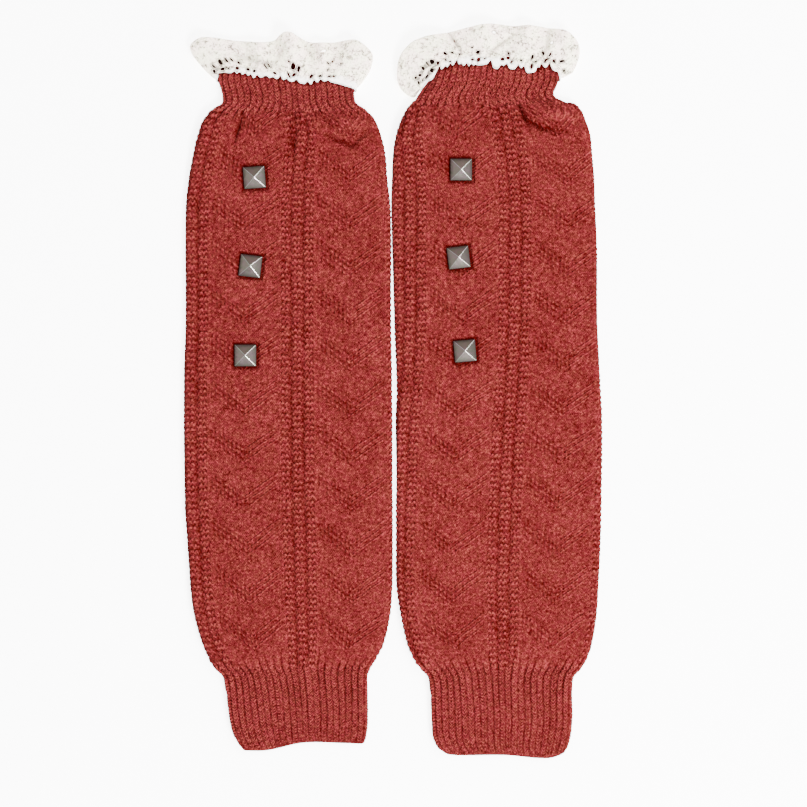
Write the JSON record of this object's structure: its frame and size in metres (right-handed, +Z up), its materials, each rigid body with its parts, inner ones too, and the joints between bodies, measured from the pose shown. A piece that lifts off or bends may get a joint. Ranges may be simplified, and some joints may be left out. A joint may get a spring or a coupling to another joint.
{
  "type": "pair of leg warmers",
  "caption": "Knitted leg warmers laid flat: garter bands and V welts, ribbed ankles, ribbed knees with gathered lace ruffles, and pyramid studs down each front.",
  "frame": {"origin": "centre of the pair's footprint, on the surface that it lies on", "axes": "+X across the legs to the right as seen from above, +Y from the ankle hems to the lace, +Z up off the surface"},
  "size_m": [0.23, 0.4027, 0.0123],
  "materials": {
    "knit": "heathered rust red wool knit, matt with a soft nap",
    "rib": "the same heathered yarn in rib stitch, matt",
    "lace": "ivory cotton lace, matt",
    "stud": "antique pewter plating, satin, worn bright on the ridges"
  },
  "bodies": {
    "root": {"left_body": "knit", "left_ankle_rib": "rib", "left_knee_rib": "rib", "left_lace_ruffle": "lace", "left_stud_1": "stud", "left_stud_2": "stud", "left_stud_3": "stud", "right_body": "knit", "right_ankle_rib": "rib", "right_knee_rib": "rib", "right_lace_ruffle": "lace", "right_stud_1": "stud", "right_stud_2": "stud", "right_stud_3": "stud"}
  },
  "joints": []
}
